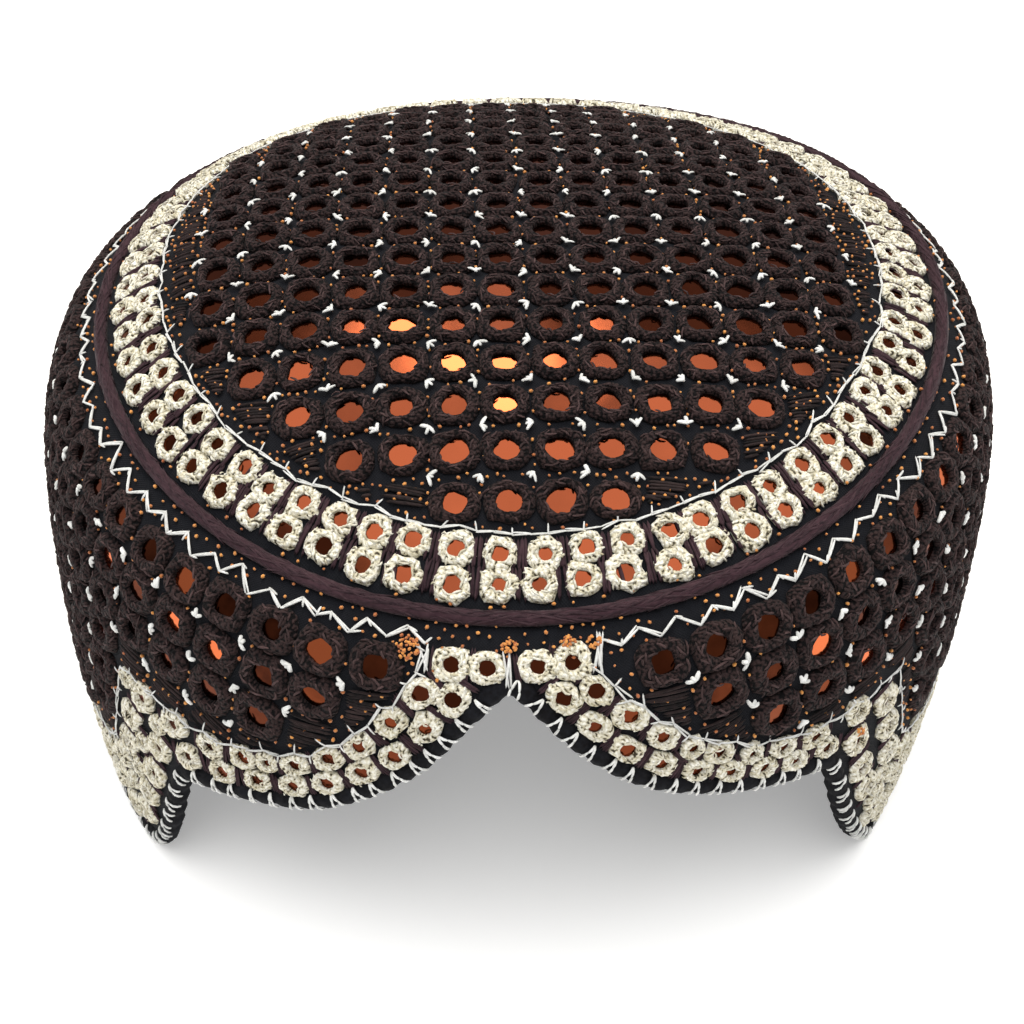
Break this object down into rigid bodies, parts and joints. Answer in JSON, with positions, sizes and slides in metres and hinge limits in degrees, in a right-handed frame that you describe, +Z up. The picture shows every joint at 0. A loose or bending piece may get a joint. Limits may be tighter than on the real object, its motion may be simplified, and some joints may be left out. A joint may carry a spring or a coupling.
{
  "type": "sindhi cap",
  "caption": "Round domed cloth cap with a tall side band, peaked front cut-out, mirror-work embroidery, corded crown seam and rolled rim binding.",
  "frame": {"origin": "on the ground under the middle of the cap, which rests on its rim", "axes": "+Z up, the cut-out front of the rim faces -Y, +X to the wearer's left when worn"},
  "size_m": [0.1939, 0.193, 0.0955],
  "materials": {
    "cotton": "matt woven cotton, near black",
    "brown_floss": "soft sheen of stitched floss, dark aubergine brown",
    "cream_floss": "soft sheen of stitched floss, cream"
  },
  "bodies": {
    "root": {"crown_cloth": "cotton", "side_band": "cotton", "rim_binding": "cotton", "crown_braid": "brown_floss", "crown_mirror_field": "brown_floss", "band_mirror_field": "brown_floss", "crown_cream_border": "cream_floss", "band_cream_border": "cream_floss"}
  },
  "joints": []
}
